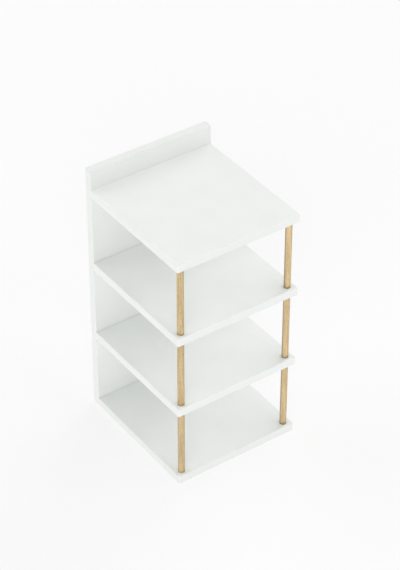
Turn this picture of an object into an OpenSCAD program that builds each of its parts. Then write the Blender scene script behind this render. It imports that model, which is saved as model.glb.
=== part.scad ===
// Miniature bookcase for a dolls' house. Four square shelves are pegged to a tall backboard, and two round
// posts tie their front corners together. Millimetres, +Z up, front towards -Y, origin at the middle of the
// footprint at floor level.

/* [Boards] */
// Width of the backboard and of every shelf
board_w = 80; // [64:1:120]
// Depth from the front of the shelves to the back of the backboard
full_d = 88; // [60:1:130]
// Thickness of the backboard and of every shelf
board_t = 5.2; // [4.8:0.1:8]
// Clear height between one shelf and the next
bay_h = 44.4; // [24:0.2:70]
// Height of the backboard above the top shelf
upstand_h = 12.4; // [4:0.2:40]
// Radius of the sanded edges
edge_r = 0.4; // [0.2:0.05:0.8]

/* [Posts] */
// Diameter of a round post
post_d = 3.9; // [3:0.1:5]
// Distance from the side of a shelf to the middle of a post
post_side = 4.4; // [4:0.1:10]
// Distance from the front of a shelf to the middle of a post
post_front = 3.9; // [3.8:0.1:10]
// Depth of the blind sockets that take the ends of a post
socket_depth = 3; // [1.5:0.1:4]
// Room left for glue past the end of a post
socket_spare = 0.2; // [0.1:0.05:0.5]
// How much wider a post's hole is than the post
post_play = 0.1; // [0.04:0.02:0.2]
// Chamfer on the ends of a post
post_chamfer = 0.3; // [0.1:0.05:0.6]

/* [Pegs] */
// Diameter of a peg
peg_d = 2.5; // [1.6:0.1:3]
// Length of a peg
peg_l = 9; // [7:0.5:14]
// Distance between the two pegs behind a shelf
peg_spacing = 44; // [20:1:50]
// How far a peg reaches into the backboard
peg_in_back = 3.2; // [2:0.1:4]
// Room left for glue past the end of a peg
peg_spare = 0.3; // [0.1:0.05:0.5]
// How much wider a peg's hole is than the peg
peg_play = 0.1; // [0.04:0.02:0.2]
// Chamfer on the ends of a peg
peg_chamfer = 0.3; // [0.1:0.05:0.5]

/* [Hidden] */

$fn = 64;
paint = [0.94, 0.95, 0.94];
post_wood = [0.83, 0.74, 0.58];
peg_wood = [0.86, 0.76, 0.58];

// Each cutter runs this far past the face it opens
overcut = 1;

left = -1;
right = 1;
last_shelf = 3;
shelf_pitch = board_t + bay_h;
back_h = last_shelf * shelf_pitch + board_t + upstand_h;
shelf_d = full_d - board_t;
front_y = -full_d / 2;
joint_y = front_y + shelf_d;
post_x = board_w / 2 - post_side;
post_y = front_y + post_front;
post_foot_z = board_t - socket_depth + socket_spare;
post_l = last_shelf * shelf_pitch + socket_depth - socket_spare - post_foot_z;
peg_x = peg_spacing / 2;

// Height of a shelf's underside, counted from the base shelf
function shelf_z(level) = level * shelf_pitch;

// A flat outline with four round corners, its lower left corner at the origin
module rounded_outline(w, h) {
    translate([edge_r, 0]) square([w - 2 * edge_r, h]);
    translate([0, edge_r]) square([w, h - 2 * edge_r]);
    for (x = [edge_r, w - edge_r], y = [edge_r, h - edge_r])
        translate([x, y]) circle(r = edge_r);
}

// A board with every edge sanded round, its lowest front left corner at the origin
module eased_board(w, d, h) {
    intersection() {
        linear_extrude(h) rounded_outline(w, d);
        translate([0, d, 0]) rotate([90, 0, 0]) linear_extrude(d) rounded_outline(w, h);
        rotate([90, 0, 90]) linear_extrude(w) rounded_outline(d, h);
    }
}

// A turned pin with chamfered ends, standing on the origin
module pin(d, l, chamfer) {
    rotate_extrude()
        polygon([
            [0, 0], [d / 2 - chamfer, 0], [d / 2, chamfer],
            [d / 2, l - chamfer], [d / 2 - chamfer, l], [0, l],
        ]);
}

// The pair of holes that one shelf's pegs need in the backboard and in the shelf itself
module peg_holes(level) {
    hole_d = peg_d + peg_play;
    hole_l = peg_l + 2 * peg_spare;
    for (side = [left, right])
        translate([side * peg_x, joint_y + peg_in_back + peg_spare, shelf_z(level) + board_t / 2])
            rotate([90, 0, 0]) cylinder(d = hole_d, h = hole_l);
}

// The pair of holes for the posts, from one height to another
module post_holes(from_z, to_z) {
    for (side = [left, right])
        translate([side * post_x, post_y, from_z])
            cylinder(d = post_d + post_play, h = to_z - from_z);
}

// A shelf without its holes: sanded all round, except for the square back edge that meets the backboard
module shelf_blank(level) {
    translate([-board_w / 2, front_y, shelf_z(level)])
        intersection() {
            eased_board(board_w, full_d, board_t);
            cube([board_w, shelf_d, board_t]);
        }
}

// The backboard without its holes: its front edges stay square, so that the shelves' sides end flush with them
module backboard_blank() {
    translate([-board_w / 2, joint_y, 0])
        intersection() {
            translate([0, -board_t, 0]) eased_board(board_w, 2 * board_t, back_h);
            cube([board_w, board_t, back_h]);
        }
}

module backboard() {
    color(paint)
        difference() {
            backboard_blank();
            for (level = [0 : last_shelf]) peg_holes(level);
        }
}

// The posts stand in blind sockets in its top
module base_shelf() {
    color(paint)
        difference() {
            shelf_blank(0);
            peg_holes(0);
            post_holes(board_t - socket_depth, board_t + overcut);
        }
}

// The posts pass right through the two shelves in the middle
module middle_shelf(level) {
    color(paint)
        difference() {
            shelf_blank(level);
            peg_holes(level);
            post_holes(shelf_z(level) - overcut, shelf_z(level) + board_t + overcut);
        }
}

// The posts end in blind sockets in its underside, so its top is unbroken
module top_shelf() {
    color(paint)
        difference() {
            shelf_blank(last_shelf);
            peg_holes(last_shelf);
            post_holes(shelf_z(last_shelf) - overcut, shelf_z(last_shelf) + socket_depth);
        }
}

module post(side) {
    color(post_wood)
        translate([side * post_x, post_y, post_foot_z]) pin(post_d, post_l, post_chamfer);
}

module peg(level, side) {
    color(peg_wood)
        translate([side * peg_x, joint_y + peg_in_back, shelf_z(level) + board_t / 2])
            rotate([90, 0, 0]) pin(peg_d, peg_l, peg_chamfer);
}

backboard();
base_shelf();
middle_shelf(1);  // lower_shelf
middle_shelf(2);  // upper_shelf
top_shelf();
post(left);  // left_post
post(right);  // right_post
peg(0, left);  // base_left_peg
peg(0, right);  // base_right_peg
peg(1, left);  // lower_left_peg
peg(1, right);  // lower_right_peg
peg(2, left);  // upper_left_peg
peg(2, right);  // upper_right_peg
peg(last_shelf, left);  // top_left_peg
peg(last_shelf, right);  // top_right_peg
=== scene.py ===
import math
import bpy
import bmesh
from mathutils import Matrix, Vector, noise
from mathutils.geometry import delaunay_2d_cdt


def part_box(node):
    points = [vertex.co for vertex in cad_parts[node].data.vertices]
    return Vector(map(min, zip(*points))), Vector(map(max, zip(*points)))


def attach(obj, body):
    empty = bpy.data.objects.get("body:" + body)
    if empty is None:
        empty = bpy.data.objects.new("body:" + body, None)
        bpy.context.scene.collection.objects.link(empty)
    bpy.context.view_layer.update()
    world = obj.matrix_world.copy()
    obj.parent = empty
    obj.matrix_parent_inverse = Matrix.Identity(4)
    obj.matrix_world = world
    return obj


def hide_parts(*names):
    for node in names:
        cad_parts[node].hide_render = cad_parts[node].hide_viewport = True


# Dolls' house bookcase: five sprayed boards, two bare dowel posts, and the glued pegs behind the shelves.
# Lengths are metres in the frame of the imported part, +Z up, with the open front towards -Y.
mm = 0.001

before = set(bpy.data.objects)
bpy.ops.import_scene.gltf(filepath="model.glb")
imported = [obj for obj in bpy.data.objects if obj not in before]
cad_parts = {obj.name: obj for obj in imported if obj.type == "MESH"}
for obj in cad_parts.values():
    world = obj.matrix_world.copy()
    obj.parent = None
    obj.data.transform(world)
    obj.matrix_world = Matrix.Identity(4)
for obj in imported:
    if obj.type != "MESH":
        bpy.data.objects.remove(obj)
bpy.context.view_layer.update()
print("frame loaded:", len(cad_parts), "nodes")


def smoothStep(low, high, value):
    share = min(1.0, max(0.0, (value - low) / (high - low)))
    return share * share * (3 - 2 * share)


def drift(point, size, shift=0.0):  # smooth noise, about -1 to 1, with bumps about one size across
    return noise.noise(Vector(point) / size + Vector((shift, 0.37 * shift, 0.71 * shift)))


def boxMiddle(node):
    low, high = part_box(node)
    return (low + high) / 2


# Mesh helpers. A solid is a list of points and a list of faces. Each point carries three marks, from 0 to 1,
# which the finishes read: on a sanded edge, painted shade near a glued board, and painted shade down one side
# of a dowel, darker towards its foot.
def newSolid():
    return {"points": [], "faces": [], "edgeWood": [], "boardShade": [], "sideShade": [], "bored": set()}


def addPoint(solid, point, edgeWood=0.0, bored=False, boardShade=0.0, sideShade=0.0):
    solid["points"].append(Vector(point))
    solid["edgeWood"].append(edgeWood)
    solid["boardShade"].append(boardShade)
    solid["sideShade"].append(sideShade)
    if bored:
        solid["bored"].add(len(solid["points"]) - 1)
    return len(solid["points"]) - 1


def joinRings(solid, first, second):  # quads between two closed rings with the same count
    count = len(first)
    for i in range(count):
        j = (i + 1) % count
        solid["faces"].append((first[i], first[j], second[j], second[i]))


def ringOf(middle, radius, sides):
    return [(middle[0] + radius * math.cos(2 * math.pi * i / sides),
             middle[1] + radius * math.sin(2 * math.pi * i / sides)) for i in range(sides)]


def insideOutline(spot, line):
    inside = False
    for (ax, ay), (bx, by) in zip(line, line[1:] + line[:1]):
        if (ay > spot[1]) != (by > spot[1]) and spot[0] < ax + (bx - ax) * (spot[1] - ay) / (by - ay):
            inside = not inside
    return inside


# Fills one flat face with small triangles, leaving its round holes open. flat() takes a point to the face's
# own two axes and lift() takes it back. Returns the ring of points round each hole's mouth.
def fillFace(solid, rim, flat, lift, holes, spacing, margin):
    fixed = [flat(solid["points"][i]) for i in rim]
    edges = []
    for hole in holes:
        start = len(fixed)
        fixed += ringOf(hole["middle"], hole["mouth"], hole["sides"])
        edges += [(start + i, start + (i + 1) % hole["sides"]) for i in range(hole["sides"])]
    low = [min(p[k] for p in fixed) for k in (0, 1)]
    high = [max(p[k] for p in fixed) for k in (0, 1)]
    counts = [max(1, round((high[k] - low[k]) / spacing)) for k in (0, 1)]
    loose = []
    for i in range(counts[0] + 1):
        for j in range(counts[1] + 1):
            spot = (low[0] + (high[0] - low[0]) * (i + 0.5 * (j % 2)) / counts[0],
                    low[1] + (high[1] - low[1]) * j / counts[1])
            clearOfRim = all(low[k] + margin < spot[k] < high[k] - margin for k in (0, 1))
            clearOfHoles = all(math.dist(spot, hole["middle"]) > hole["mouth"] + margin for hole in holes)
            if clearOfRim and clearOfHoles:
                loose.append(spot)
    scaled = [Vector(p) / mm for p in fixed + loose]
    outline = [list(range(len(rim)))]
    made, _, triangles, origin, _, _ = delaunay_2d_cdt(scaled, edges, outline, 1, 1e-5, True)
    numbers = []
    place = {}
    for spot, sources in zip(made, origin):
        known = [s for s in sources if s < len(rim)]
        numbers.append(rim[known[0]] if known else addPoint(solid, lift(spot.x * mm, spot.y * mm)))
        place.update({s: numbers[-1] for s in sources})
    mouths = []
    start = len(rim)
    for hole in holes:
        mouths.append([place[start + i] for i in range(hole["sides"])])
        start += hole["sides"]
    for triangle in triangles:
        corners = {numbers[i] for i in triangle}
        inHole = any(corners <= set(mouth) for mouth in mouths)  # all three corners on one mouth
        centre = sum((Vector(made[i]) for i in triangle), Vector((0, 0))) / 3 * mm
        offBoard = corners <= set(rim) and not insideOutline(centre, fixed[:len(rim)])
        if not inHole and not offBoard:
            solid["faces"].append(tuple(numbers[i] for i in triangle))
    return mouths


# Walls of a drilled hole below its mouth, with a broken edge at the mouth. sink() gives a point from a spot
# on the face's two axes and a depth. With an exit ring the hole goes right through, otherwise it has a floor.
def drillHole(solid, hole, mouth, sink, exitRing=None):
    ease = hole["mouth"] - hole["radius"]
    bend = 3  # steps round the broken edge
    rings = [(ease * (1 - math.sin(math.pi / 2 * k / bend)), ease * (1 - math.cos(math.pi / 2 * k / bend)))
             for k in range(1, bend + 1)]
    walls = [(0.0, hole["depth"] * share) for share in (0.35, 0.65)]
    if exitRing:
        rings += walls + [(wide, hole["depth"] - deep) for wide, deep in reversed(rings)]
    else:
        rings += walls + [(0.0, hole["depth"]), (-hole["radius"] * 0.4, hole["depth"])]
    last = mouth
    for wide, deep in rings:
        ring = [addPoint(solid, sink(*spot, deep), 1.0, True)
                for spot in ringOf(hole["middle"], hole["radius"] + wide, hole["sides"])]
        joinRings(solid, last, ring)
        last = ring
    if exitRing:
        joinRings(solid, last, exitRing)
        return
    centre = addPoint(solid, sink(*hole["middle"], hole["depth"]), 1.0, True)
    for i in range(len(last)):
        solid["faces"].append((last[i], last[(i + 1) % len(last)], centre))


# The outline of a board on its own two axes. Points run anticlockwise, each with the way out of the board
# there. A square back keeps its two corners sharp and is marked, because no edge is sanded along it.
def boardOutline(width, depth, shape, squareBack):
    half, turn, steps = width / 2, shape["cornerRadius"], shape["cornerSteps"]
    corners = [(-half, 0.0), (half, 0.0), (half, depth), (-half, depth)]
    inward = [(1, 1), (-1, 1), (-1, -1), (1, -1)]
    outward = [(0, -1), (1, 0), (0, 1), (-1, 0)]
    points = []
    ends = []
    for k, corner in enumerate(corners):
        if squareBack and k >= 2:
            points.append((*corner, (-inward[k][0], 0), False))
            ends.append((corner, corner, len(points)))
            continue
        middle = (corner[0] + inward[k][0] * turn, corner[1] + inward[k][1] * turn)
        arc = []
        for i in range(steps + 1):
            angle = math.pi + math.pi / 2 * (k + i / steps)
            way = (math.cos(angle), math.sin(angle))
            arc.append((middle[0] + turn * way[0], middle[1] + turn * way[1], way, False))
        points += arc
        ends.append((arc[0][:2], arc[-1][:2], len(points)))
    whole = []
    taken = 0
    for k in range(4):
        whole += points[taken:ends[k][2]]
        taken = ends[k][2]
        start, stop = Vector(ends[k][1]), Vector(ends[(k + 1) % 4][0])
        count = max(2, round((stop - start).length / shape["spacing"]))
        back = squareBack and k == 2
        for i in range(1, count):
            spot = start.lerp(stop, i / count)
            whole.append((spot.x, spot.y, (0, 0) if back else outward[k], back))
    return whole


# A board with hand-sanded edges and drilled holes. under() and over() give the sanding radius at a spot on
# the edge of the lower and upper face. Holes name the face they open in: over, under or back, or go through.
def boardSolid(size, shape, under, over, holes, squareBack=False):
    width, depth, thick = size
    solid = newSolid()
    line = boardOutline(width, depth, shape, squareBack)
    bend = shape["edgeSteps"]
    levels = [("under", k / bend) for k in range(bend + 1)]
    levels += [("wall", share) for share in (0.3, 0.5, 0.7)]
    levels += [("over", k / bend) for k in range(bend, -1, -1)]
    columns = []
    for u, v, way, back in line:
        column = []
        for n, (part, share) in enumerate(levels):
            if back and 0 < n < len(levels) - 1:
                column.append(None)
                continue
            low, high = under(u, v), over(u, v)
            radius = low if part == "under" else high
            inset = 0.0 if part == "wall" else radius * (1 - math.sin(math.pi / 2 * share))
            rise = radius * (1 - math.cos(math.pi / 2 * share))
            w = {"under": rise, "over": thick - rise, "wall": low + (thick - low - high) * share}[part]
            edgeWood = 1.0 if part == "wall" else smoothStep(0.1, 0.8, share)
            point = (u - way[0] * inset, v - way[1] * inset, w)
            column.append(addPoint(solid, point, 0.0 if back else edgeWood))
        columns.append(column)
    for i, column in enumerate(columns):
        following = columns[(i + 1) % len(columns)]
        atBack = squareBack and line[i][1] == depth and line[i][2][0] > 0
        if None in column or None in following or atBack:
            continue
        for n in range(len(levels) - 1):
            solid["faces"].append((column[n], following[n], following[n + 1], column[n + 1]))
    rims = {"under": [c[0] for c in columns], "over": [c[-1] for c in columns]}
    flatWays = {
        "under": lambda p: (p[0], p[1]),
        "over": lambda p: (p[0], p[1]),
        "back": lambda p: (p[0], p[2]),
    }
    sinks = {
        "under": lambda a, b, deep=0.0: (a, b, deep),
        "over": lambda a, b, deep=0.0: (a, b, thick - deep),
        "back": lambda a, b, deep=0.0: (a, depth - deep, b),
    }
    if squareBack:
        right = next(i for i, spot in enumerate(line) if spot[1] == depth and spot[2][0] > 0)
        left = next(i for i, spot in enumerate(line) if spot[1] == depth and spot[2][0] < 0)
        rims["back"] = [c[0] for c in columns[right:left + 1]]
        rims["back"] += columns[left][1:-1]
        rims["back"] += [c[-1] for c in reversed(columns[right:left + 1])]
        rims["back"] += list(reversed(columns[right][1:-1]))
    through = [h for h in holes if h["face"] == "through"]
    exits = {}
    for face, rim in rims.items():
        opened = [h for h in holes if h["face"] == face]
        if face != "back":
            opened = opened + through
        mouths = fillFace(solid, rim, flatWays[face], sinks[face], opened, shape["spacing"], shape["margin"])
        for hole, mouth in zip(opened, mouths):
            if hole["face"] != "through":
                drillHole(solid, hole, mouth, sinks[face])
            elif face == "under":
                exits[hole["middle"]] = mouth
            else:
                drillHole(solid, dict(hole, depth=thick), mouth, sinks["over"], exits[hole["middle"]])
    return solid


# Turns a solid into an object of the part, standing in for one CAD node
def makePiece(name, node, solid, place, finish, wave=None):
    mesh = bpy.data.meshes.new(name)
    shape = bmesh.new()
    points = [shape.verts.new(place(*p)) for p in solid["points"]]
    for face in solid["faces"]:
        shape.faces.new([points[i] for i in face])
    bmesh.ops.recalc_face_normals(shape, faces=shape.faces)
    shape.normal_update()
    if wave:
        moves = [(p, -p.normal * wave["depth"] * (0.5 + 0.5 * drift(p.co, wave["size"], wave["shift"])))
                 for i, p in enumerate(points) if i not in solid["bored"]]
        for p, move in moves:
            p.co += move
        shape.normal_update()
    sharpest = math.radians(40)
    for edge in shape.edges:
        edge.smooth = edge.calc_face_angle(0.0) < sharpest
    for face in shape.faces:
        face.smooth = True
    loose = sum(1 for p in shape.verts if not p.link_faces)
    openEdges = sum(1 for e in shape.edges if not e.is_manifold)
    shape.to_mesh(mesh)
    shape.free()
    for mark in ("edgeWood", "boardShade", "sideShade"):
        mesh.attributes.new(mark, "FLOAT", "POINT").data.foreach_set("value", solid[mark])
    mesh.materials.append(finish)
    piece = bpy.data.objects.new(name, mesh)
    bpy.context.scene.collection.objects.link(piece)
    weighted = piece.modifiers.new("flat faces stay flat", "WEIGHTED_NORMAL")
    weighted.keep_sharp = True
    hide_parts(node)
    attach(piece, "root")
    print(f"{name}: {len(mesh.vertices)} points, {loose} loose, {openEdges} open edges")
    return piece


# Material helpers: each adds a node or two and returns what the next one reads.
def newMaterial(name):
    material = bpy.data.materials.new(name)
    material.use_nodes = True
    tree = material.node_tree
    return material, tree, tree.nodes["Principled BSDF"]


def addNode(tree, kind, values=None, links=None, **options):
    made = tree.nodes.new("ShaderNode" + kind)
    for name, value in options.items():
        setattr(made, name, value)
    for name, value in (values or {}).items():
        made.inputs[name].default_value = value
    for name, source in (links or {}).items():
        tree.links.new(source, made.inputs[name])
    return made


def noiseAt(tree, where, scale, detail=2.0, roughness=0.5):
    values = {"Scale": scale, "Detail": detail, "Roughness": roughness}
    return addNode(tree, "TexNoise", values, {"Vector": where}).outputs["Fac"]


def mixColour(tree, share, first, second):
    mixed = addNode(tree, "Mix", data_type="RGBA")
    for slot, value in ((0, share), (6, first), (7, second)):
        if isinstance(value, (int, float, tuple)):
            mixed.inputs[slot].default_value = value
        else:
            tree.links.new(value, mixed.inputs[slot])
    return mixed.outputs[2]


def remap(tree, value, low, high, newLow, newHigh):
    values = {"From Min": low, "From Max": high, "To Min": newLow, "To Max": newHigh}
    return addNode(tree, "MapRange", values, {"Value": value}).outputs["Result"]


def joined(tree, operation, first, second):
    made = addNode(tree, "Math", operation=operation)
    for slot, value in enumerate((first, second)):
        if isinstance(value, (int, float)):
            made.inputs[slot].default_value = value
        else:
            tree.links.new(value, made.inputs[slot])
    return made.outputs[0]


def rgba(colour):
    return (*colour, 1.0)


sprayPaint = {
    "white": (0.856, 0.874, 0.858),
    "thin": (0.842, 0.860, 0.844),      # where the coat is a little thinner
    "cloudScale": 70,                   # of the thick and thin patches
    "roughness": (0.50, 0.64),
    "sheenScale": 500,
    "peel": 0.06,                       # strength of the orange peel
    "peelScale": 1800,
    "edgeGrain": 0.12,                  # strength of the fibres that show through on the sanded edges
    "edgeGrainScale": 6000,
    "bumpDepth": 0.02 * mm,
    # painted shade in the inside corners and on the upstand: its tone, strength and reach
    "shadeTone": (0.660, 0.680, 0.650),
    "cornerShade": 0.4,
    "topShade": 0.25,                      # share of the painted corner shade kept on the top shelf
    "cornerShadeReach": 1.5 * mm,
    "upstandShadeStrength": (0.30, 0.12),        # painted shade on the upstand's face: at its foot, then further up
    "upstandShadeReach": 9 * mm,
}


# Painted shade in the inside corners: the coat colour is mixed towards a shade tone there. Each corner is an
# axis and a place on it. A pitch repeats the corners up the backboard, and adds painted shade on the face of
# its upstand.
def makePaint(name, look, corners, pitch=None):
    material, tree, shader = newMaterial(name)
    where = addNode(tree, "TexCoord").outputs["Object"]
    edge = addNode(tree, "Attribute", attribute_name="edgeWood").outputs["Fac"]
    cloud = remap(tree, noiseAt(tree, where, look["cloudScale"], 3), 0.35, 0.65, 0, 1)
    colour = mixColour(tree, cloud, rgba(look["white"]), rgba(look["thin"]))
    spots = addNode(tree, "SeparateXYZ", {}, {"Vector": where}).outputs
    normal = addNode(tree, "NewGeometry").outputs["Normal"]
    facing = addNode(tree, "SeparateXYZ", {}, {"Vector": normal}).outputs["Y"]
    notBehind = joined(tree, "LESS_THAN", facing, 0.5)
    inside = joined(tree, "MULTIPLY", notBehind, joined(tree, "SUBTRACT", 1.0, edge))
    # Painted shade in the inside corners, weaker on the top shelf
    topShade = look["cornerShade"] * look["topShade"]
    shadeStrength = remap(tree, spots["Z"], topLevel - 4 * mm, topLevel, look["cornerShade"], topShade)
    for axis, place in corners:
        spot = joined(tree, "MODULO", spots[axis], pitch) if pitch else spots[axis]
        away = joined(tree, "ABSOLUTE", joined(tree, "SUBTRACT", spot, place), 0.0)
        cornerShade = joined(tree, "MULTIPLY", remap(tree, away, 0.0, look["cornerShadeReach"], 1.0, 0.0), shadeStrength)
        colour = mixColour(tree, joined(tree, "MULTIPLY", cornerShade, inside), colour, rgba(look["shadeTone"]))
    # Painted shade on the upstand's face, darkest at its foot
    if pitch:
        above = joined(tree, "GREATER_THAN", spots["Z"], topLevel)
        rise = remap(tree, spots["Z"], topLevel, topLevel + look["upstandShadeReach"], *look["upstandShadeStrength"])
        upstandShade = joined(tree, "MULTIPLY", joined(tree, "MULTIPLY", rise, above), inside)
        colour = mixColour(tree, upstandShade, colour, rgba(look["shadeTone"]))
    tree.links.new(colour, shader.inputs["Base Color"])
    sheen = remap(tree, noiseAt(tree, where, look["sheenScale"], 3), 0.3, 0.7, *look["roughness"])
    tree.links.new(sheen, shader.inputs["Roughness"])
    peel = addNode(tree, "Bump", {"Strength": look["peel"], "Distance": look["bumpDepth"]},
                   {"Height": noiseAt(tree, where, look["peelScale"], 1)})
    fibre = joined(tree, "SUBTRACT", noiseAt(tree, where, look["edgeGrainScale"], 2), 0.5)
    rough = addNode(tree, "Bump", {"Strength": look["edgeGrain"], "Distance": look["bumpDepth"]},
                    {"Height": joined(tree, "MULTIPLY", fibre, edge), "Normal": peel.outputs["Normal"]})
    tree.links.new(rough.outputs["Normal"], shader.inputs["Normal"])
    return material


dowelWood = {
    "light": (0.700, 0.537, 0.306),
    "dark": (0.518, 0.376, 0.185),
    "fleck": (0.270, 0.175, 0.080),
    # painted shade down one side of a dowel
    "sideShade": (0.360, 0.270, 0.150),
    "contactShade": (0.200, 0.155, 0.078),     # painted shade where a post meets a board
    "along": (1.0, 1.0, 0.05),          # the grain runs along the axis with the small number
    "across": (1.0, 1.0, 0.18),         # short flecks, a few times longer than wide
    "rings": 0.22,                      # how much each kind of figure counts
    "ringScale": 330,
    "fibres": 0.60,
    "fibreScale": 2400,
    "mottle": 0.50,
    "mottleScale": 1500,
    "flecks": 0.95,
    "fleckScale": 2800,
    "contactShadeScale": 1300,
    "poreScale": 5200,
    "bumpDepth": 0.03 * mm,
    "roughness": (0.50, 0.72),
    "shine": 0.35,
}


def makeWood(name, look):
    material, tree, shader = newMaterial(name)
    where = addNode(tree, "TexCoord").outputs["Object"]
    along = addNode(tree, "Mapping", {"Scale": look["along"]}, {"Vector": where}).outputs["Vector"]
    short = addNode(tree, "Mapping", {"Scale": look["across"]}, {"Vector": where}).outputs["Vector"]
    bands = {"Scale": look["ringScale"], "Distortion": 5, "Detail": 2, "Detail Scale": 1.6}
    rings = addNode(tree, "TexWave", bands, {"Vector": along}, bands_direction="DIAGONAL").outputs["Fac"]
    fibres = noiseAt(tree, along, look["fibreScale"], 4, 0.65)
    cloud = noiseAt(tree, short, look["mottleScale"], 3, 0.6)
    grain = joined(tree, "MULTIPLY", rings, look["rings"])
    grain = joined(tree, "ADD", grain, joined(tree, "MULTIPLY", fibres, look["fibres"]))
    grain = joined(tree, "ADD", grain, joined(tree, "MULTIPLY", cloud, look["mottle"]))
    colour = mixColour(tree, remap(tree, grain, 0.42, 0.84, 0, 1), rgba(look["light"]), rgba(look["dark"]))

    cells = addNode(tree, "TexVoronoi", {"Scale": look["fleckScale"], "Randomness": 1.0}, {"Vector": short})
    chance = addNode(tree, "SeparateColor", {}, {"Color": cells.outputs["Color"]}).outputs["Red"]
    spot = remap(tree, cells.outputs["Distance"], 0.10, 0.45, 1, 0)
    fleck = joined(tree, "MULTIPLY", spot, remap(tree, chance, 0.2, 0.9, 0, look["flecks"]))
    colour = mixColour(tree, fleck, colour, rgba(look["fleck"]))

    # Painted shade down one side of the dowel, and darker towards its foot
    sideShade = addNode(tree, "Attribute", attribute_name="sideShade").outputs["Fac"]
    colour = mixColour(tree, sideShade, colour, rgba(look["sideShade"]))
    # Painted shade where a post meets a board
    corner = addNode(tree, "Attribute", attribute_name="boardShade").outputs["Fac"]
    uneven = remap(tree, noiseAt(tree, where, look["contactShadeScale"], 2), 0.3, 0.7, 0.75, 1.15)
    colour = mixColour(tree, joined(tree, "MULTIPLY", corner, uneven), colour, rgba(look["contactShade"]))
    tree.links.new(colour, shader.inputs["Base Color"])
    tree.links.new(remap(tree, grain, 0.4, 0.9, *look["roughness"]), shader.inputs["Roughness"])
    shader.inputs["Specular IOR Level"].default_value = look["shine"]
    fine = addNode(tree, "Bump", {"Strength": 0.35, "Distance": look["bumpDepth"]},
                   {"Height": noiseAt(tree, along, look["poreScale"], 2)})
    pores = addNode(tree, "Bump", {"Strength": 0.5, "Distance": look["bumpDepth"]},
                    {"Height": joined(tree, "SUBTRACT", 1.0, fleck), "Normal": fine.outputs["Normal"]})
    tree.links.new(pores.outputs["Normal"], shader.inputs["Normal"])
    return material


sides = ("left", "right")
shelves = {"base_shelf": "base", "lower_shelf": "lower", "upper_shelf": "upper", "top_shelf": "top"}
shelfSpans = [(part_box(node)[0].z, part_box(node)[1].z) for node in shelves]  # underside and top of each shelf
pitch = shelfSpans[1][0] - shelfSpans[0][0]
topLevel = shelfSpans[-1][1]
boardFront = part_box("backboard")[0].y

# Painted light and shade: the bottom shelf and the backboard are toned a little darker and the right dowel a
# little lighter than the rest, for how the light falls on them.
shadedBasePaintLook = dict(sprayPaint, white=(0.830, 0.848, 0.832), thin=(0.818, 0.836, 0.820))
shadedBoardPaintLook = dict(sprayPaint, white=(0.839, 0.857, 0.840), thin=(0.829, 0.847, 0.830))
litRightDowelLook = dict(dowelWood, light=(0.785, 0.608, 0.356), dark=(0.583, 0.428, 0.219))
pegLook = dict(dowelWood, light=(0.66, 0.52, 0.31), dark=(0.52, 0.39, 0.21), flecks=0.3,
               along=(1.0, 0.05, 1.0), across=(1.0, 0.18, 1.0))
shelfPaint = makePaint("shelfPaint", sprayPaint, [("Y", boardFront)])
shadedBasePaint = makePaint("shadedBasePaint", shadedBasePaintLook, [("Y", boardFront)])
shadedBoardPaint = makePaint("shadedBoardPaint", shadedBoardPaintLook, [("Z", shelfSpans[0][1]), ("Z", pitch)], pitch)
postWood = {"left": makeWood("leftDowel", dowelWood), "right": makeWood("litRightDowel", litRightDowelLook)}
pegWood = makeWood("pegWood", pegLook)
print("materials made")

# The five boards
boardShape = {
    "cornerRadius": 0.6 * mm,       # corners seen in plan
    "cornerSteps": 5,
    "edgeRadius": 0.40 * mm,        # sanded edges
    "edgeSteps": 4,
    "edgeSpread": 0.05 * mm,        # how much the sanding varies by hand
    "edgeSize": 9 * mm,             # and over what length
    "underSeed": 5,
    "overSeed": 25,
    "spacing": 2.2 * mm,            # size of the triangles
    "margin": 1.2 * mm,             # and how far they stay from a rim or a hole
    "wave": {"depth": 0.012 * mm, "size": 11 * mm, "shift": 3.0},
}
backboardEdge = {                   # along the front of its sides
    "flush": 0.03 * mm,             # beside a shelf, where the joint is filled and sanded square
    "share": 0.7,                   # of the usual radius between the shelves
    "fade": (0.3 * mm, 2.5 * mm),
    "seed": 45,
}
drilling = {
    "postPlay": 0.05 * mm,          # room round a post, on the radius
    "pegPlay": 0.05 * mm,
    "postSpare": 0.2 * mm,          # room for glue past a post's end
    "pegSpare": 0.3 * mm,
    "postMouth": 0.04 * mm,         # broken edge round a post's hole
    "pegMouth": 0.10 * mm,
    "sides": 40,
}


def postHole(side, face, depth):
    low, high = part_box(side + "_post")
    radius = (high.x - low.x) / 2 + drilling["postPlay"]
    return {"face": face, "radius": radius, "mouth": radius + drilling["postMouth"], "depth": depth,
            "sides": drilling["sides"], "at": boxMiddle(side + "_post")}


def pegHole(row, side, face, joint):
    low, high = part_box(f"{row}_{side}_peg")
    radius = (high.x - low.x) / 2 + drilling["pegPlay"]
    reach = high.y - joint if face == "over" else joint - low.y
    return {"face": face, "radius": radius, "mouth": radius + drilling["pegMouth"],
            "depth": reach + drilling["pegSpare"], "sides": drilling["sides"], "at": (low + high) / 2}


def handSanded(place, shift):
    def radius(u, v):
        spread = drift(place(u, v, 0), boardShape["edgeSize"], shift)
        return boardShape["edgeRadius"] + boardShape["edgeSpread"] * spread
    return radius


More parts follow.
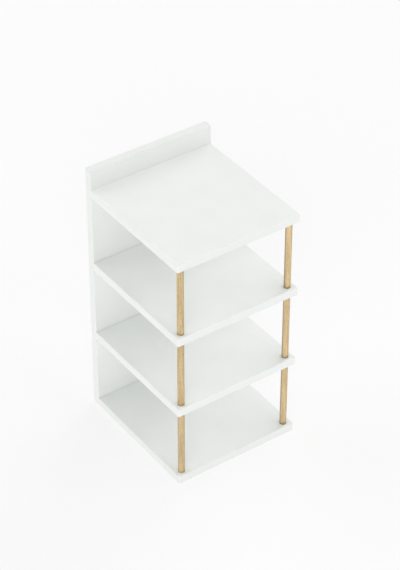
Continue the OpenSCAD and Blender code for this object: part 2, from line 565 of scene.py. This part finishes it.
def makeShelf(node, row, number):
    low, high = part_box(node)
    size = high - low

    def place(u, v, w):
        return Vector((u + (low.x + high.x) / 2, v + low.y, w + low.z))

    holes = []
    for side in sides:
        foot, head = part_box(side + "_post")
        if node == "base_shelf":
            holes.append(postHole(side, "over", high.z - foot.z + drilling["postSpare"]))
        elif node == "top_shelf":
            holes.append(postHole(side, "under", head.z - low.z + drilling["postSpare"]))
        else:
            holes.append(postHole(side, "through", size.z))
        holes.append(pegHole(row, side, "back", high.y))
    for hole in holes:
        at = hole["at"] - place(0, 0, 0)
        hole["middle"] = (at.x, at.z) if hole["face"] == "back" else (at.x, at.y)
    under = handSanded(place, boardShape["underSeed"] + number)
    over = handSanded(place, boardShape["overSeed"] + number)
    solid = boardSolid(size, boardShape, under, over, holes, True)
    paint = shadedBasePaint if row == "base" else shelfPaint
    makePiece(node.replace("_", "-"), node, solid, place, paint, boardShape["wave"])


for number, (node, row) in enumerate(shelves.items()):
    makeShelf(node, row, number)


def makeBackboard():
    low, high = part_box("backboard")
    size = (high.x - low.x, high.z - low.z, high.y - low.y)

    def place(u, v, w):
        return Vector((u + (low.x + high.x) / 2, high.y - w, v + low.z))

    sanded = handSanded(place, backboardEdge["seed"])

    def frontEdge(u, v):
        away = min(max(under - low.z - v, v + low.z - over, 0.0) for under, over in shelfSpans)
        share = backboardEdge["share"] * smoothStep(*backboardEdge["fade"], away)
        return backboardEdge["flush"] + share * sanded(u, v)

    holes = []
    for row in shelves.values():
        for side in sides:
            hole = pegHole(row, side, "over", low.y)
            hole["middle"] = (hole["at"].x - (low.x + high.x) / 2, hole["at"].z - low.z)
            holes.append(hole)
    solid = boardSolid(size, boardShape, sanded, frontEdge, holes)
    makePiece("back-board", "backboard", solid, place, shadedBoardPaint, boardShape["wave"])


makeBackboard()

# The round posts, then the pegs that hold the shelves to the backboard
postShape = {
    "sides": 56,
    "spacing": 0.9 * mm,            # between rings along the post
    "chamfer": 0.3 * mm,
    "grainDepth": 0.022 * mm,       # softer wood sanded a little hollow
    "grainAcross": 0.45 * mm,
    "grainAlong": 14 * mm,
    # painted shade beside a board: how dark, and how far up from it, then how far down from the one above
    "footShade": {"left": (0.65, 1.8 * mm), "right": (0.95, 2.4 * mm)},
    "headShade": (0.35, 0.9 * mm),
    "shadeDrift": 2.5 * mm,         # the painted shade's edge wanders
    # painted shade, a darker stripe down the side that faces into the bookcase: degrees round, and how dark
    "sideShade": {"left": (60, 0.25), "right": (141, 1.0)},
    "sideShadeWidth": (26, 68),         # degrees each side, full and faded out
    "sideShadeDrift": (12, 30 * mm),    # the stripe wanders this many degrees over this length
    "footTone": {"left": 0.16, "right": 0.24},      # the dowel is darker towards its foot
}


# A turned rod along +Z. Each station is a height and how far the rod is cut in there. relief() is the depth
# of the grain or flutes, and the last two functions give the marks of painted shade for the finish.
def turnedSolid(radius, stations, sides, relief, contactShade=None, sideShade=None):
    solid = newSolid()
    rings = []
    for z, inset in stations:
        ring = []
        for i in range(sides):
            angle = 2 * math.pi * i / sides
            reach = radius - inset - relief(angle, z)
            shaded = contactShade(angle, z) if contactShade else 0.0
            darker = sideShade(angle, z) if sideShade else 0.0
            point = (reach * math.cos(angle), reach * math.sin(angle), z)
            ring.append(addPoint(solid, point, boardShade=shaded, sideShade=darker))
        rings.append(ring)
    for first, second in zip(rings, rings[1:]):
        joinRings(solid, first, second)
    for ring, z in ((rings[0], stations[0][0]), (rings[-1], stations[-1][0])):
        last = ring
        for share in (0.66, 0.33):
            outer = [solid["points"][i] for i in ring]
            inner = [addPoint(solid, (point.x * share, point.y * share, z)) for point in outer]
            joinRings(solid, last, inner)
            last = inner
        centre = addPoint(solid, (0, 0, z))
        for i in range(sides):
            solid["faces"].append((last[i], last[(i + 1) % sides], centre))
    return solid


def chamferedStations(length, chamfer, spacing):
    count = max(2, round((length - 2 * chamfer) / spacing))
    body = [(chamfer + (length - 2 * chamfer) * i / count, 0.0) for i in range(count + 1)]
    return [(0.0, chamfer), *body, (length, chamfer)]


def makePost(side, number):
    node = side + "_post"
    low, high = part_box(node)
    middle = (low + high) / 2
    radius = (high.x - low.x) / 2

    def relief(angle, z):
        spot = Vector((math.cos(angle) * radius / postShape["grainAcross"],
                       math.sin(angle) * radius / postShape["grainAcross"],
                       z / postShape["grainAlong"] + 31 * number))
        return postShape["grainDepth"] * (0.5 + 0.5 * noise.noise(spot))

    # Painted shade in a stripe down the side facing into the bookcase, and darker towards the foot
    def sideShade(angle, z):
        darkest, most = postShape["sideShade"][side]
        sway, length = postShape["sideShadeDrift"]
        darkest += sway * drift((0, 0, z), length, 3 + number)
        away = abs((math.degrees(angle) - darkest + 180) % 360 - 180)
        stripe = most * (1 - smoothStep(*postShape["sideShadeWidth"], away))
        return max(stripe, postShape["footTone"][side] * (1 - z / (high.z - low.z)))

    # Painted shade where the post meets each board: full inside its hole, fading up from the board below and
    # down from the board above
    def contactShade(angle, z):
        dark = 0.0
        for under, over in shelfSpans:
            if low.z + z > under and low.z + z < over:
                return 1.0
            spot = (math.cos(angle) * 2 * mm, math.sin(angle) * 2 * mm, over)
            reach = 1 + 0.5 * drift(spot, postShape["shadeDrift"], 7 + number)
            for (most, length), away in ((postShape["footShade"][side], low.z + z - over),
                                         (postShape["headShade"], under - low.z - z)):
                if away > 0:
                    dark = max(dark, most * (1 - smoothStep(0, length * reach, away)))
        return dark

    stations = chamferedStations(high.z - low.z, postShape["chamfer"], postShape["spacing"])
    solid = turnedSolid(radius, stations, postShape["sides"], relief, contactShade, sideShade)

    def place(x, y, z):
        return Vector((middle.x + x, middle.y + y, low.z + z))

    makePiece(side + "-post", node, solid, place, postWood[side])


for number, side in enumerate(sides):
    makePost(side, number)

pegShape = {
    "sides": 64,
    "flutes": 16,
    "fluteDepth": 0.10 * mm,
    "fluteFade": 1.2 * mm,          # the flutes run out before the ends
    "chamfer": 0.3 * mm,
    "spacing": 0.6 * mm,
}


def makePeg(row, side):
    node = f"{row}_{side}_peg"
    low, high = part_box(node)
    middle = (low + high) / 2
    length = high.y - low.y

    def relief(angle, z):
        fade = smoothStep(0, pegShape["fluteFade"], z) * smoothStep(0, pegShape["fluteFade"], length - z)
        return pegShape["fluteDepth"] * fade * (0.5 - 0.5 * math.cos(angle * pegShape["flutes"])) ** 2

    stations = chamferedStations(length, pegShape["chamfer"], pegShape["spacing"])
    solid = turnedSolid((high.x - low.x) / 2, stations, pegShape["sides"], relief)

    def place(x, y, z):
        return Vector((middle.x + x, low.y + z, middle.z - y))

    makePiece(f"{row}-{side}-peg", node, solid, place, pegWood)


for row in shelves.values():
    for side in sides:
        makePeg(row, side)
print("pieces made")

# Floor, lamps and camera
studio = {
    "floorSize": 6.0,
    "floorTone": (0.30, 0.30, 0.30),
    "floorGlow": 0.67,              # the floor is a pale light table, so shadows on it stay faint
    "domeRadius": 2.9,
    "domeTone": (0.0, 0.0, 0.0),
    "domeGlow": 0.97,
    "world": (1.0, 1.0, 1.0),
    "worldStrength": 0.26,
}
softLamps = {                       # azimuth as for the camera, elevation, width across the sky, strength
    "lowLeft": (310, 12, 50, 1.15),
    "keyLeft": (315, 35, 15, 0.25),
    "front": (335, 35, 25, 0.35),
    "frontRight": (15, 45, 12, 0.20),
    "sideRight": (55, 40, 12, 0.15),
    "wideRight": (90, 50, 80, 0.65),
    "overhead": (90, 70, 60, 0.30),
    "rearRight": (115, 20, 40, 0.80),
    "rearLeft": (215, 35, 55, 0.80),
}
cameraView = {
    "azimuth": -35.1,               # degrees round from the front, towards the right
    "elevation": 37.7,
    "distance": 1194 * mm,
    "aim": (7.1 * mm, 2.6 * mm, 91.2 * mm),
    "lens": 134.6,
}


def stageObject(name, shape, tone, glow):
    mesh = bpy.data.meshes.new(name)
    shape.to_mesh(mesh)
    shape.free()
    material, _, shader = newMaterial("pale" + name.capitalize())
    shader.inputs["Base Color"].default_value = rgba(tone)
    shader.inputs["Roughness"].default_value = 0.9
    shader.inputs["Specular IOR Level"].default_value = 0.0
    shader.inputs["Emission Color"].default_value = rgba((1.0, 1.0, 1.0))
    shader.inputs["Emission Strength"].default_value = glow
    mesh.materials.append(material)
    made = bpy.data.objects.new(name, mesh)
    bpy.context.scene.collection.objects.link(made)
    return made


def makeFloor():
    shape = bmesh.new()
    bmesh.ops.create_grid(shape, x_segments=8, y_segments=8, size=studio["floorSize"] / 2)
    stageObject("floor", shape, studio["floorTone"], studio["floorGlow"])


# A pale dome round the floor, so that low views end in the same plain tone. Only the camera sees it.
def makeBackdrop():
    shape = bmesh.new()
    bmesh.ops.create_uvsphere(shape, u_segments=64, v_segments=32, radius=studio["domeRadius"])
    dome = stageObject("backdrop", shape, studio["domeTone"], studio["domeGlow"])
    for kind in ("diffuse", "glossy", "transmission", "volume_scatter", "shadow"):
        setattr(dome, "visible_" + kind, False)


def makeWorld():
    world = bpy.data.worlds.new("studio")
    bpy.context.scene.world = world
    world.use_nodes = True
    sky = world.node_tree.nodes["Background"]
    sky.inputs["Color"].default_value = rgba(studio["world"])
    sky.inputs["Strength"].default_value = studio["worldStrength"]


def wayTo(azimuth, elevation):  # degrees round from the front towards the right, and up
    across, up = math.radians(azimuth), math.radians(elevation)
    return Vector((math.sin(across) * math.cos(up), -math.cos(across) * math.cos(up), math.sin(up)))


def makeLamp(name, azimuth, elevation, width, strength):
    data = bpy.data.lights.new(name, "SUN")
    data.angle = math.radians(width)
    data.energy = strength
    lamp = bpy.data.objects.new(name, data)
    lamp.location = wayTo(azimuth, elevation)
    lamp.rotation_euler = (-lamp.location).to_track_quat("-Z", "Y").to_euler()
    bpy.context.scene.collection.objects.link(lamp)


def makeCamera():
    back = wayTo(cameraView["azimuth"], cameraView["elevation"])
    data = bpy.data.cameras.new("camera")
    data.lens = cameraView["lens"]
    data.clip_start = 0.01
    camera = bpy.data.objects.new("camera", data)
    camera.location = Vector(cameraView["aim"]) + back * cameraView["distance"]
    camera.rotation_euler = (-back).to_track_quat("-Z", "Y").to_euler()
    bpy.context.scene.collection.objects.link(camera)
    bpy.context.scene.camera = camera


makeFloor()
makeBackdrop()
makeWorld()
for name, values in softLamps.items():
    makeLamp(name, *values)
makeCamera()
bpy.context.scene.view_settings.view_transform = "Standard"
print("studio ready")
